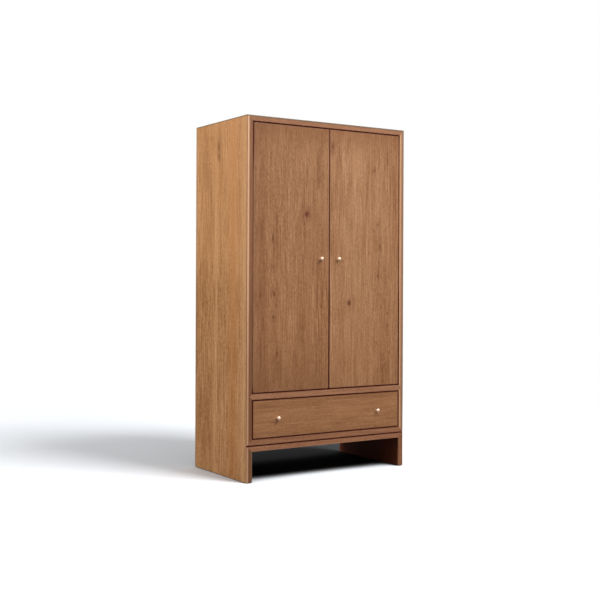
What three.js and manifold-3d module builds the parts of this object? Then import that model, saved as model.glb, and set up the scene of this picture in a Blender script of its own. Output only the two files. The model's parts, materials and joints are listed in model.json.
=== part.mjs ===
// Freestanding two-door armoire with one drawer: a mitred case on a slab-legged base, inset doors
// on pivot hinges, a drawer on telescopic slides, and a hanging rod under a hat shelf inside.
// Millimetres, +Z up. The doors face -Y. The origin is on the floor, in the middle of the whole
// piece with its knobs.

import * as THREE from "three";
import { mergeVertices } from "three/addons/utils/BufferGeometryUtils.js";
import Module from "manifold-3d";

const wasm = await Module();
wasm.setup();

// ---- Overall sizes ----
const cabinetWidth = 1010;
const cabinetDepth = 572; // front lippings to rear edges, knobs left out
const cabinetHeight = 1880;

// ---- Case and base ----
const sideThickness = 32;
const topThickness = 32;
const dividerThickness = 32;
const bottomThickness = 30;
const lippingDepth = 8; // solid wood strip along every front edge
const lippingArris = 5; // rounding of the lippings' outer front edges
const legClearance = 157; // top of the glides to the underside of the base rails
const baseRailHeight = 27;
const baseRailThickness = 24;
const shadowGroove = 4; // height of the groove between case and base
const backThickness = 6;
const rebateDepth = 8; // housing for the back, along Y
const rebateWidth = 10; // housing for the back, into each panel
const glueLine = 0.3; // between pieces that touch
const rebatePlay = 0.5; // round the loose edges of the back

// ---- Glides ----
const glideHeight = 3;
const glideRadius = 10;
const glideChamfer = 1;
const glideNailRadius = 1.5;
const glideNailLength = 14;
const glideNailPlay = 0.3;
const glideInset = 36; // from the front and rear edges of a leg

// ---- Doors and drawer front ----
const revealGap = 4; // round each door and the drawer front
const doorThickness = 22;
const frontRecess = 0.8; // door and drawer faces behind the lippings' faces
const drawerFrontHeight = 194;
const drawerFrontThickness = 22;

// ---- Pivot hinges ----
const pivotFromEdge = 20; // pin axis from the door's hinge edge
const pivotFromFace = 10; // pin axis behind the door's face
const leafLength = 58; // from the pin axis to the leaf's square end
const leafWidth = 12;
const leafThickness = 2.5;
const pinRadius = 3;
const pinPlay = 0.1;
const thrustRadius = 5;
const thrustPlay = 0.4; // above the thrust collar

// ---- Knobs ----
const knobBallRadius = 10.5;
const knobBallStandOff = 2; // face to the back of the ball
const knobNeckRadius = 4;
const knobFlangeRadius = 6.5;
const knobFlangeThickness = 1.6;
const knobSocketDepth = 12;
const knobScrewRadius = 2;
const knobScrewPlay = 0.3;
const screwHeadRadius = 4.2;
const screwHeadHeight = 2.2;
const screwSlotWidth = 1;
const screwSlotDepth = 1.1;
const doorKnobFromEdge = 54; // from the door's meeting edge
const drawerKnobSpacing = 640;

// ---- Hat shelf and hanging rod ----
const shelfDrop = 248; // underside of the top panel to the shelf's top face
const shelfThickness = 20;
const shelfEndPlay = 1.5;
const shelfSetBack = 46; // from the doors' back faces
const shelfPinRadius = 2.5;
const shelfPinStandOut = 9;
const shelfPinDepth = 9;
const shelfPinInset = 60; // from the shelf's front and rear edges
const shelfPinPlay = 0.3;
const rodRadius = 12.5;
const rodWall = 1.5;
const rodDrop = 52; // shelf underside to the rod's axis
const rodEndPlay = 0.8;
const socketFlangeRadius = 25;
const socketFlangeThickness = 3;
const socketWall = 3;
const socketDepth = 13;
const socketPlay = 0.4;

// ---- Magnetic catch ----
const catchWidth = 84;
const catchHeight = 15;
const catchDepth = 16;
const catchEarLength = 12;
const catchEarThickness = 2.5;
const catchAir = 0.6; // strike plate to catch
const strikeWidth = 24;
const strikeHeight = 13;
const strikeThickness = 1.2;
const strikeFromEdge = 8; // from the door's meeting edge

// ---- Drawer box and slides ----
const slideWidth = 12.7;
const slideHeight = 45;
const slideStep = 50; // slides are made in lengths that differ by this
const slideRearRoom = 40; // least free length behind the slides
const slideSteel = 1.2;
const slideAir = 1.4; // between nested members
const slideFromFront = 6; // behind the drawer front
const drawerBoxLift = 18; // above the drawer front's lower edge
const drawerBoxHeadroom = 28; // below the drawer front's upper edge
const drawerSideThickness = 13;
const drawerBoxOverhang = 14; // the box's length past the slides' rear ends
const drawerBottomThickness = 6;
const drawerBottomLift = 11;
const drawerGrooveDepth = 6;
const drawerGroovePlay = 0.4;

// ---- How finely round shapes are cut ----
const arrisSteps = 5;
const turnSides = 24;
const smallTurnSides = 16;
const ballSteps = 11;
const leafArcSteps = 12;
const overcut = 1; // how far a cutting block runs past the face it opens

// ---- Places worked out from the sizes ----
const knobProjection = knobBallStandOff + 2 * knobBallRadius;
const caseFront = (knobProjection + glueLine - frontRecess - cabinetDepth) / 2;
const caseBack = caseFront + cabinetDepth;
const outerX = cabinetWidth / 2;
const innerX = outerX - sideThickness;
const legBottom = glideHeight;
const railBottom = legBottom + legClearance;
const railTop = railBottom + baseRailHeight;
const caseBottom = railTop + shadowGroove;
const bottomTop = caseBottom + bottomThickness;
const drawerFrontBottom = bottomTop + revealGap;
const drawerFrontTop = drawerFrontBottom + drawerFrontHeight;
const dividerBottom = drawerFrontTop + revealGap;
const dividerTop = dividerBottom + dividerThickness;
const doorBottom = dividerTop + revealGap;
const topUnderside = cabinetHeight - topThickness;
const doorTop = topUnderside - revealGap;
const panelFront = caseFront + lippingDepth + glueLine;
const frontFace = caseFront + frontRecess;
const doorBack = frontFace + doorThickness;
const doorOuterX = innerX - revealGap;
const doorInnerX = revealGap / 2;
const backFront = caseBack - rebateDepth + glueLine;
const pivotX = doorOuterX - pivotFromEdge;
const pivotY = frontFace + pivotFromFace;
const drawerFrontBack = frontFace + drawerFrontThickness;
const drawerFrontMiddle = (drawerFrontBottom + drawerFrontTop) / 2;
const drawerBoxBottom = drawerFrontBottom + drawerBoxLift;
const drawerBoxTop = drawerFrontTop - drawerBoxHeadroom;
const drawerBoxOuterX = innerX - slideWidth - 2 * glueLine;
const drawerBoxInnerX = drawerBoxOuterX - drawerSideThickness;
const slideFront = drawerFrontBack + slideFromFront;
const slideLength = Math.floor((backFront - slideRearRoom - slideFront) / slideStep) * slideStep;
const drawerBoxFront = drawerFrontBack + glueLine;
const drawerBoxBack = slideFront + slideLength + drawerBoxOverhang;
const shelfHeight = topUnderside - shelfDrop;
const shelfFront = doorBack + shelfSetBack;
const shelfBack = backFront - shelfEndPlay;
const rodY = (doorBack + backFront) / 2;
const rodZ = shelfHeight - shelfThickness - rodDrop;
const mitreSlip = glueLine * Math.SQRT2; // sideways shift that leaves a glue line along a mitre

// ---- Finishes ----
const finishes = {
  veneer: { color: 0xa87a52, roughness: 0.55, metalness: 0 },
  frontVeneer: { color: 0x9c7250, roughness: 0.55, metalness: 0 },
  solidEdge: { color: 0x96694f, roughness: 0.55, metalness: 0 },
  insideWood: { color: 0xb98f66, roughness: 0.65, metalness: 0 },
  champagne: { color: 0xd9bfa0, roughness: 0.3, metalness: 1 },
  steel: { color: 0xb9bbbd, roughness: 0.35, metalness: 1 },
  plastic: { color: 0x2c2926, roughness: 0.6, metalness: 0 },
};

// ---- Shaping tools ----

function span(a, b) {
  return [Math.min(a, b), Math.max(a, b)];
}

// Points along an arc of a circle about [u, v], both ends included.
function arc([u, v], radius, fromAngle, toAngle, steps) {
  return Array.from({ length: steps + 1 }, (unused, i) => {
    const angle = fromAngle + (toAngle - fromAngle) * (i / steps);
    return [u + radius * Math.cos(angle), v + radius * Math.sin(angle)];
  });
}

// A block between two corners, given as its stretch along each axis.
function block([x0, x1], [y0, y1], [z0, z1]) {
  const geometry = new THREE.BoxGeometry(x1 - x0, y1 - y0, z1 - z0);
  return geometry.translate((x0 + x1) / 2, (y0 + y1) / 2, (z0 + z1) / 2);
}

function shapeOf(points) {
  return new THREE.Shape(points.map(([u, v]) => new THREE.Vector2(u, v)));
}

// Moves a shape's own right, up and extrusion directions onto three axes of the cabinet.
function extrudeAlong(shape, [from, to], right, up, out) {
  const geometry = new THREE.ExtrudeGeometry(shape, { depth: to - from, bevelEnabled: false });
  const frame = new THREE.Matrix4().makeBasis(right, up, out);
  return geometry.applyMatrix4(frame).translate(out.x * from, out.y * from, out.z * from);
}

const alongX = new THREE.Vector3(1, 0, 0);
const alongY = new THREE.Vector3(0, 1, 0);
const alongZ = new THREE.Vector3(0, 0, 1);

// An outline in X and Z with a thickness along Y.
function frontOutline(points, [y0, y1]) {
  return extrudeAlong(shapeOf(points), [-y1, -y0], alongX, alongZ, alongY.clone().negate());
}

// An outline in X and Y with a height along Z.
function planOutline(points, stretch) {
  return extrudeAlong(shapeOf(points), stretch, alongX, alongY, alongZ);
}

// An outline in Y and Z with a length along X.
function endOutline(points, stretch) {
  return extrudeAlong(shapeOf(points), stretch, alongY, alongZ, alongX);
}

// Turns [radius, height] points about Z.
function turned(points, sides) {
  return new THREE.LatheGeometry(
    points.map(([r, h]) => new THREE.Vector2(r, h)),
    sides,
  ).rotateX(Math.PI / 2);
}

function toSolid(geometry) {
  const bare = geometry.clone();
  bare.deleteAttribute("normal");
  bare.deleteAttribute("uv");
  const merged = mergeVertices(bare);
  return new wasm.Manifold(
    new wasm.Mesh({
      numProp: 3,
      vertProperties: merged.getAttribute("position").array,
      triVerts: new Uint32Array(merged.index.array),
    }),
  );
}

function toGeometry(solid) {
  const made = solid.getMesh();
  const geometry = new THREE.BufferGeometry();
  geometry.setAttribute("position", new THREE.BufferAttribute(made.vertProperties, 3));
  geometry.setIndex(new THREE.BufferAttribute(made.triVerts, 1));
  geometry.computeVertexNormals();
  return geometry;
}

function cut(geometry, ...tools) {
  return toGeometry(tools.reduce((left, tool) => left.subtract(toSolid(tool)), toSolid(geometry)));
}

function join(geometry, ...others) {
  return toGeometry(others.reduce((whole, other) => whole.add(toSolid(other)), toSolid(geometry)));
}

function common(a, b) {
  return toGeometry(toSolid(a).intersect(toSolid(b)));
}

function piece(group, name, geometry, finish, place = [0, 0, 0], turn = [0, 0, 0]) {
  const mesh = new THREE.Mesh(geometry, new THREE.MeshStandardMaterial(finishes[finish]));
  mesh.name = name;
  mesh.position.set(...place);
  mesh.rotation.set(...turn);
  group.add(mesh);
  return mesh;
}

const sides = [
  { word: "left", sign: -1 },
  { word: "right", sign: 1 },
];

// ---- Case: veneered panels ----

// The housing for the back, cut from the inner rear edge of the panels round it.
function backHousing() {
  return block(
    [-innerX - rebateWidth, innerX + rebateWidth],
    [caseBack - rebateDepth, caseBack + overcut],
    [bottomTop - rebateWidth, topUnderside + rebateWidth],
  );
}

function glidePlaces(sign) {
  const x = sign * (outerX - sideThickness / 2);
  return [
    { word: "front", x, y: caseFront + glideInset },
    { word: "back", x, y: caseBack - glideInset },
  ];
}

function shelfPinPlaces() {
  return [
    { word: "front", y: shelfFront + shelfPinInset },
    { word: "back", y: shelfBack - shelfPinInset },
  ];
}

function shelfPinZ() {
  return shelfHeight - shelfThickness - glueLine - shelfPinRadius;
}

function sidePanel(sign) {
  const outline = [
    [sign * outerX, legBottom],
    [sign * outerX, cabinetHeight],
    [sign * innerX, topUnderside],
    [sign * innerX, legBottom],
  ];
  const nailDepth = glideNailLength + glideNailPlay;
  const nailHoles = glidePlaces(sign).map(({ x, y }) =>
    turned(discProfile(glideNailRadius + glideNailPlay, -overcut, nailDepth), smallTurnSides)
      .translate(x, y, legBottom),
  );
  const pinDepth = shelfPinDepth + shelfPinPlay;
  const pinHoles = shelfPinPlaces().map(({ y }) =>
    turned(discProfile(shelfPinRadius + shelfPinPlay, -overcut, pinDepth), smallTurnSides)
      .rotateY((sign * Math.PI) / 2)
      .translate(sign * innerX, y, shelfPinZ()),
  );
  const slab = frontOutline(outline, [panelFront, caseBack]);
  return cut(slab, backHousing(), ...nailHoles, ...pinHoles);
}

function topPanel() {
  const outline = [
    [outerX - mitreSlip, cabinetHeight],
    [innerX - mitreSlip, topUnderside],
    [mitreSlip - innerX, topUnderside],
    [mitreSlip - outerX, cabinetHeight],
  ];
  const slab = frontOutline(outline, [panelFront, caseBack]);
  return cut(slab, backHousing(), ...leafMortises(topUnderside, 1));
}

function dividerPanel() {
  const slab = block(
    [glueLine - innerX, innerX - glueLine],
    [panelFront, caseBack - rebateDepth],
    [dividerBottom, dividerTop],
  );
  return cut(slab, ...leafMortises(dividerTop, -1));
}

function bottomPanel() {
  const slab = block([glueLine - innerX, innerX - glueLine], [panelFront, caseBack], [caseBottom, bottomTop]);
  return cut(slab, backHousing());
}

function backPanel() {
  const halfWidth = innerX + rebateWidth - rebatePlay;
  return block(
    [-halfWidth, halfWidth],
    [backFront, backFront + backThickness],
    [bottomTop - rebateWidth + rebatePlay, topUnderside + rebateWidth - rebatePlay],
  );
}

// ---- Case and base: solid front lippings ----

// Plan of an upright lipping, its outer front edge rounded.
function uprightPlan(sign) {
  const centre = [outerX - lippingArris, caseFront + lippingArris];
  const rightHand = [
    [innerX, caseFront],
    ...arc(centre, lippingArris, -Math.PI / 2, 0, arrisSteps),
    [outerX, caseFront + lippingDepth],
    [innerX, caseFront + lippingDepth],
  ];
  return rightHand.map(([x, y]) => [sign * x, y]);
}

// Cross-section of the top lipping, its upper front edge rounded.
function topLippingSection() {
  const centre = [caseFront + lippingArris, cabinetHeight - lippingArris];
  return [
    [caseFront, topUnderside],
    ...arc(centre, lippingArris, Math.PI, Math.PI / 2, arrisSteps),
    [caseFront + lippingDepth, cabinetHeight],
    [caseFront + lippingDepth, topUnderside],
  ];
}

// Upright of the case: mitred at both ends, notched for the divider's pointed end.
function stileLipping(sign) {
  const face = [
    [sign * outerX, caseBottom],
    [sign * outerX, cabinetHeight],
    [sign * innerX, topUnderside],
    [sign * innerX, dividerTop],
    [sign * (innerX + dividerThickness / 2), (dividerTop + dividerBottom) / 2],
    [sign * innerX, dividerBottom],
    [sign * innerX, bottomTop],
  ];
  return common(
    planOutline(uprightPlan(sign), [caseBottom, cabinetHeight]),
    frontOutline(face, [caseFront - overcut, caseFront + lippingDepth + overcut]),
  );
}

function legLipping(sign) {
  const face = [
    [sign * outerX, legBottom],
    [sign * outerX, railTop],
    [sign * innerX, railBottom],
    [sign * innerX, legBottom],
  ];
  return common(
    planOutline(uprightPlan(sign), [legBottom, railTop]),
    frontOutline(face, [caseFront - overcut, caseFront + lippingDepth + overcut]),
  );
}

// Front face of a rail whose ends are mitred from the long edge to the short edge.
function mitredFace(longEdge, shortEdge) {
  return [
    [outerX - mitreSlip, longEdge],
    [innerX - mitreSlip, shortEdge],
    [mitreSlip - innerX, shortEdge],
    [mitreSlip - outerX, longEdge],
  ];
}

function topLipping() {
  const thickness = [caseFront - overcut, caseFront + lippingDepth + overcut];
  const strip = common(
    endOutline(topLippingSection(), [-outerX, outerX]),
    frontOutline(mitredFace(cabinetHeight, topUnderside), thickness),
  );
  return cut(strip, ...leafMortises(topUnderside, 1));
}

function bottomLipping() {
  return frontOutline(mitredFace(caseBottom, bottomTop), [caseFront, caseFront + lippingDepth]);
}

function dividerLipping() {
  const shoulder = innerX - mitreSlip;
  const tip = shoulder + dividerThickness / 2;
  const middle = (dividerTop + dividerBottom) / 2;
  const face = [
    [shoulder, dividerTop],
    [tip, middle],
    [shoulder, dividerBottom],
    [-shoulder, dividerBottom],
    [-tip, middle],
    [-shoulder, dividerTop],
  ];
  const strip = frontOutline(face, [caseFront, caseFront + lippingDepth]);
  return cut(strip, ...leafMortises(dividerTop, -1));
}

// ---- Base rails and glides ----

// The rail's face is mitred into the legs; behind the groove its top reaches up to the case.
function frontBaseRail() {
  const section = [
    [caseFront, railBottom],
    [caseFront + baseRailThickness, railBottom],
    [caseFront + baseRailThickness, caseBottom - glueLine],
    [caseFront + lippingDepth, caseBottom - glueLine],
    [caseFront + lippingDepth, railTop],
    [caseFront, railTop],
  ];
  return join(
    endOutline(section, [mitreSlip - innerX, innerX - mitreSlip]),
    frontOutline(mitredFace(railTop, railBottom), [caseFront, caseFront + lippingDepth]),
  );
}

function backBaseRail() {
  return block(
    [glueLine - innerX, innerX - glueLine],
    [caseBack - baseRailThickness, caseBack],
    [railBottom, caseBottom - glueLine],
  );
}

function discProfile(radius, from, to) {
  return [
    [0, from],
    [radius, from],
    [radius, to],
    [0, to],
  ];
}

// A round pad with its nail standing up into the leg.
function glide() {
  const padTop = glideHeight - glueLine;
  return turned(
    [
      [0, 0],
      [glideRadius - glideChamfer, 0],
      [glideRadius, glideChamfer],
      [glideRadius, padTop],
      [glideNailRadius, padTop],
      [glideNailRadius, glideHeight + glideNailLength - glideNailRadius],
      [0, glideHeight + glideNailLength],
    ],
    smallTurnSides,
  );
}

// ---- Pivot hinges ----

// A leaf's plan: rounded about the pin axis, square at its far end, grown all round by a play.
function leafPlan(play) {
  const radius = leafWidth / 2 + play;
  return [
    ...arc([0, 0], radius, Math.PI / 2, (3 * Math.PI) / 2, leafArcSteps),
    [leafLength + play, -radius],
    [leafLength + play, radius],
  ];
}

// The leaf points from the pin towards the middle of the cabinet.
function leafTurn(sign) {
  return sign > 0 ? Math.PI : 0;
}

// A pocket for a leaf, sunk from a face into the material that lies in the given Z direction.
function leafMortise(sign, face, into) {
  const depth = leafThickness + glueLine;
  return planOutline(leafPlan(glueLine), span(-into * overcut, into * depth))
    .rotateZ(leafTurn(sign))
    .translate(sign * pivotX, pivotY, face);
}

// Leaf let into the case; its outer face is at Z = 0 and it lies above that.
function caseLeaf() {
  const bore = turned(discProfile(pinRadius + pinPlay, -overcut, leafThickness + overcut), turnSides);
  return cut(planOutline(leafPlan(0), [0, leafThickness]), bore);
}

// Leaf let into the door's end, with the thrust collar and the pin that turns in the case leaf.
function doorLeaf() {
  const collarTop = revealGap - thrustPlay;
  const pinTop = revealGap + leafThickness;
  const pin = turned(
    [
      [0, -leafThickness / 2],
      [thrustRadius, -leafThickness / 2],
      [thrustRadius, collarTop],
      [pinRadius, collarTop],
      [pinRadius, pinTop],
      [0, pinTop],
    ],
    turnSides,
  );
  return join(planOutline(leafPlan(0), [-leafThickness, 0]), pin);
}

function leafMortises(face, into) {
  return sides.map(({ sign }) => leafMortise(sign, face, into));
}

const hingeEnds = [
  { word: "top", casePlane: topUnderside, doorPlane: doorTop, tip: 0 },
  { word: "bottom", casePlane: dividerTop, doorPlane: doorBottom, tip: Math.PI },
];

// ---- Doors ----

function doorPanel(sign) {
  const slab = block(
    span(sign * doorInnerX, sign * doorOuterX),
    [frontFace, doorBack],
    [doorBottom, doorTop],
  );
  const mortises = [leafMortise(sign, doorTop, -1), leafMortise(sign, doorBottom, 1)];
  return cut(slab, ...mortises, screwBore(doorThickness, doorKnobX(sign), doorKnobZ()));
}

function doorKnobX(sign) {
  return sign * (doorInnerX + doorKnobFromEdge);
}

function doorKnobZ() {
  return (doorBottom + doorTop) / 2;
}

// ---- Knobs and their screws ----

function screwBore(thickness, x, z) {
  const radius = knobScrewRadius + knobScrewPlay;
  return turned(discProfile(radius, -overcut, thickness + overcut), smallTurnSides)
    .rotateX(-Math.PI / 2)
    .translate(x, frontFace, z);
}

// Turned knob: flange, neck and ball, with a blind socket for its screw. It stands on Z = 0.
function knob() {
  const ballCentre = knobProjection - knobBallRadius;
  const socketRadius = knobScrewRadius + knobScrewPlay;
  const neckAngle = -Math.acos(knobNeckRadius / knobBallRadius);
  const ball = arc([0, ballCentre], knobBallRadius, neckAngle, Math.PI / 2, ballSteps).slice(0, -1);
  return turned(
    [
      [0, knobSocketDepth],
      [socketRadius, knobSocketDepth],
      [socketRadius, 0],
      [knobFlangeRadius, 0],
      [knobFlangeRadius, knobFlangeThickness],
      [knobNeckRadius, knobFlangeThickness],
      ...ball,
      [0, knobProjection],
    ],
    turnSides,
  );
}

// Slotted machine screw: its head lies below Z = 0 and its shank reaches up to the given height.
function knobScrew(reach) {
  const body = turned(
    [
      [0, -screwHeadHeight],
      [screwHeadRadius - screwSlotWidth, -screwHeadHeight],
      [screwHeadRadius, -screwHeadHeight / 2],
      [screwHeadRadius, 0],
      [knobScrewRadius, 0],
      [knobScrewRadius, reach],
      [0, reach],
    ],
    smallTurnSides,
  );
  const slot = block(
    [-screwHeadRadius - overcut, screwHeadRadius + overcut],
    [-screwSlotWidth / 2, screwSlotWidth / 2],
    [-screwHeadHeight - overcut, screwSlotDepth - screwHeadHeight],
  );
  return cut(body, slot);
}

// A knob on a front face with the screw that holds it from behind.
function addKnob(group, name, thickness, x, z) {
  const turn = [Math.PI / 2, 0, 0];
  const behind = frontFace + thickness + glueLine;
  const reach = thickness + knobSocketDepth;
  piece(group, name, knob(), "champagne", [x, frontFace - glueLine, z], turn);
  piece(group, name + "_screw", knobScrew(reach), "steel", [x, behind, z], turn);
}

// ---- Hat shelf, hanging rod and catch ----

function hatShelf() {
  const halfWidth = innerX - shelfEndPlay;
  return block([-halfWidth, halfWidth], [shelfFront, shelfBack], [shelfHeight - shelfThickness, shelfHeight]);
}

// A pin lying along Z: the part below zero sits in the side panel.
function shelfPin() {
  return turned(discProfile(shelfPinRadius, -shelfPinDepth, shelfPinStandOut), smallTurnSides);
}

// A tube lying along X.
function hangingRod() {
  const half = innerX - glueLine - socketFlangeThickness - rodEndPlay;
  return turned(
    [
      [rodRadius - rodWall, -half],
      [rodRadius, -half],
      [rodRadius, half],
      [rodRadius - rodWall, half],
      [rodRadius - rodWall, -half],
    ],
    turnSides,
  ).rotateY(Math.PI / 2);
}

// Round flange with a collar that takes the rod's end, standing on Z = 0.
function rodSocket() {
  const bore = rodRadius + socketPlay;
  const collar = bore + socketWall;
  return turned(
    [
      [0, 0],
      [socketFlangeRadius, 0],
      [socketFlangeRadius, socketFlangeThickness],
      [collar, socketFlangeThickness],
      [collar, socketDepth],
      [bore, socketDepth],
      [bore, socketFlangeThickness],
      [0, socketFlangeThickness],
    ],
    turnSides,
  );
}

const catchFront = doorBack + glueLine + strikeThickness + catchAir;

function magneticCatch() {
  const housing = block(
    [-catchWidth / 2, catchWidth / 2],
    [catchFront, catchFront + catchDepth],
    [topUnderside - glueLine - catchHeight, topUnderside - glueLine],
  );
  const ears = block(
    [-catchWidth / 2 - catchEarLength, catchWidth / 2 + catchEarLength],
    [catchFront + catchAir, catchFront + catchDepth - catchAir],
    [topUnderside - glueLine - catchEarThickness, topUnderside - glueLine],
  );
  return join(housing, ears);
}

function strikePlate(sign) {
  const near = doorInnerX + strikeFromEdge;
  const middle = topUnderside - glueLine - catchHeight / 2;
  const top = Math.min(middle + strikeHeight / 2, doorTop - glueLine);
  return block(
    span(sign * near, sign * (near + strikeWidth)),
    [doorBack + glueLine, doorBack + glueLine + strikeThickness],
    [top - strikeHeight, top],
  );
}

// ---- Drawer ----

function drawerFront() {
  const slab = block(
    [-doorOuterX, doorOuterX],
    [frontFace, drawerFrontBack],
    [drawerFrontBottom, drawerFrontTop],
  );
  const bores = sides.map(({ sign }) => {
    return screwBore(drawerFrontThickness, (sign * drawerKnobSpacing) / 2, drawerFrontMiddle);
  });
  return cut(slab, ...bores);
}

// The drawer's bottom panel, grown all round by a play: with none it is the panel itself, and with
// the groove's play it is the block that grooves all four walls of the box.
function drawerBottom(play) {
  const halfWidth = drawerBoxInnerX + drawerGrooveDepth - drawerGroovePlay + play;
  const intoWall = drawerSideThickness - drawerGrooveDepth + drawerGroovePlay - play;
  const low = drawerBoxBottom + drawerBottomLift;
  return block(
    [-halfWidth, halfWidth],
    [drawerBoxFront + intoWall, drawerBoxBack - intoWall],
    [low - play, low + drawerBottomThickness + play],
  );
}

function drawerSide(sign) {
  const wall = block(
    span(sign * drawerBoxInnerX, sign * drawerBoxOuterX),
    [drawerBoxFront, drawerBoxBack],
    [drawerBoxBottom, drawerBoxTop],
  );
  return cut(wall, drawerBottom(drawerGroovePlay));
}

// The box's cross walls stand between its sides. The front one is bored to clear the knob screws.
function drawerCrossWall(from, bores) {
  const wall = block(
    [glueLine - drawerBoxInnerX, drawerBoxInnerX - glueLine],
    [from, from + drawerSideThickness],
    [drawerBoxBottom, drawerBoxTop],
  );
  return cut(wall, drawerBottom(drawerGroovePlay), ...bores);
}

function screwHeadClearances() {
  const radius = screwHeadRadius + 2 * knobScrewPlay;
  const length = drawerSideThickness + 2 * overcut;
  return sides.map(({ sign }) =>
    turned(discProfile(radius, 0, length), smallTurnSides)
      .rotateX(-Math.PI / 2)
      .translate((sign * drawerKnobSpacing) / 2, drawerBoxFront - overcut, drawerFrontMiddle),
  );
}

// ---- Telescopic slides ----

// A channel's cross-section in X and Z. Its web stands at webX, its lips reach to lipX.
function channelSection(webX, lipX, halfHeight) {
  const inward = Math.sign(lipX - webX) * slideSteel;
  const middle = (drawerBoxBottom + drawerBoxTop) / 2;
  return [
    [webX, middle - halfHeight],
    [lipX, middle - halfHeight],
    [lipX, middle - halfHeight + slideSteel],
    [webX + inward, middle - halfHeight + slideSteel],
    [webX + inward, middle + halfHeight - slideSteel],
    [lipX, middle + halfHeight - slideSteel],
    [lipX, middle + halfHeight],
    [webX, middle + halfHeight],
  ];
}

// Three nested channels between the case side and the drawer side, from the case inwards.
function slideMembers(sign) {
  const wallX = innerX - glueLine;
  const drawerX = wallX - slideWidth;
  const step = slideSteel + slideAir;
  const stretch = [slideFront, slideFront + slideLength];
  const half = slideHeight / 2;
  const make = (webX, lipX, halfHeight) =>
    frontOutline(channelSection(sign * webX, sign * lipX, halfHeight), stretch);
  return {
    case: make(wallX, drawerX + step, half),
    middle: make(wallX - step, drawerX + step, half - step),
    drawer: make(drawerX, wallX - 2 * step, half - 2 * step),
  };
}

// ---- Putting it together ----

function addCase(group) {
  piece(group, "top_panel", topPanel(), "veneer");
  piece(group, "divider_panel", dividerPanel(), "veneer");
  piece(group, "bottom_panel", bottomPanel(), "veneer");
  piece(group, "back_panel", backPanel(), "insideWood");
  piece(group, "top_lipping", topLipping(), "solidEdge");
  piece(group, "divider_lipping", dividerLipping(), "solidEdge");
  piece(group, "bottom_lipping", bottomLipping(), "solidEdge");
  piece(group, "front_base_rail", frontBaseRail(), "solidEdge");
  piece(group, "back_base_rail", backBaseRail(), "solidEdge");
  for (const { word, sign } of sides) {
    piece(group, word + "_side_panel", sidePanel(sign), "veneer");
    piece(group, word + "_stile_lipping", stileLipping(sign), "solidEdge");
    piece(group, word + "_leg_lipping", legLipping(sign), "solidEdge");
    for (const place of glidePlaces(sign)) {
      piece(group, `${word}_${place.word}_glide`, glide(), "plastic", [place.x, place.y, 0]);
    }
  }
}

function addInside(group) {
  piece(group, "hat_shelf", hatShelf(), "veneer");
  piece(group, "hanging_rod", hangingRod(), "steel", [0, rodY, rodZ]);
  piece(group, "magnetic_catch", magneticCatch(), "plastic");
  for (const { word, sign } of sides) {
    const inwards = [0, (-sign * Math.PI) / 2, 0];
    const wall = sign * (innerX - glueLine);
    piece(group, word + "_rod_socket", rodSocket(), "steel", [wall, rodY, rodZ], inwards);
    for (const place of shelfPinPlaces()) {
      const at = [sign * innerX, place.y, shelfPinZ()];
      piece(group, `${word}_${place.word}_shelf_pin`, shelfPin(), "steel", at, inwards);
    }
  }
}

function addDoor(doorGroup, caseGroup, word, sign) {
  piece(doorGroup, word + "_door", doorPanel(sign), "frontVeneer");
  piece(doorGroup, word + "_strike_plate", strikePlate(sign), "steel");
  addKnob(doorGroup, word + "_door_knob", doorThickness, doorKnobX(sign), doorKnobZ());
  for (const end of hingeEnds) {
    const name = `${word}_${end.word}_hinge`;
    const turn = [end.tip, 0, leafTurn(sign)];
    const at = (plane) => [sign * pivotX, pivotY, plane];
    piece(caseGroup, name + "_case_leaf", caseLeaf(), "steel", at(end.casePlane), turn);
    piece(doorGroup, name + "_door_leaf", doorLeaf(), "steel", at(end.doorPlane), turn);
  }
}

function addDrawer(group) {
  const backWallFrom = drawerBoxBack - drawerSideThickness;
  piece(group, "drawer_front", drawerFront(), "frontVeneer");
  piece(group, "drawer_box_front", drawerCrossWall(drawerBoxFront, screwHeadClearances()), "insideWood");
  piece(group, "drawer_box_back", drawerCrossWall(backWallFrom, []), "insideWood");
  piece(group, "drawer_bottom", drawerBottom(0), "insideWood");
  for (const { word, sign } of sides) {
    const x = (sign * drawerKnobSpacing) / 2;
    piece(group, `drawer_${word}_side`, drawerSide(sign), "insideWood");
    addKnob(group, `drawer_${word}_knob`, drawerFrontThickness, x, drawerFrontMiddle);
  }
}

const armoire = new THREE.Group();
const caseGroup = new THREE.Group();
const drawerGroup = new THREE.Group();
armoire.add(caseGroup, drawerGroup);
addCase(caseGroup);
addInside(caseGroup);
addDrawer(drawerGroup);
for (const { word, sign } of sides) {
  const doorGroup = new THREE.Group();
  const runnerGroup = new THREE.Group();
  const members = slideMembers(sign);
  armoire.add(doorGroup, runnerGroup);
  addDoor(doorGroup, caseGroup, word, sign);
  piece(caseGroup, word + "_slide_case_member", members.case, "steel");
  piece(runnerGroup, word + "_slide_middle_member", members.middle, "steel");
  piece(drawerGroup, word + "_slide_drawer_member", members.drawer, "steel");
}

export default armoire;
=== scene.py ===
import json
import math

import bmesh
import bpy
from mathutils import Matrix, Vector


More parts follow.
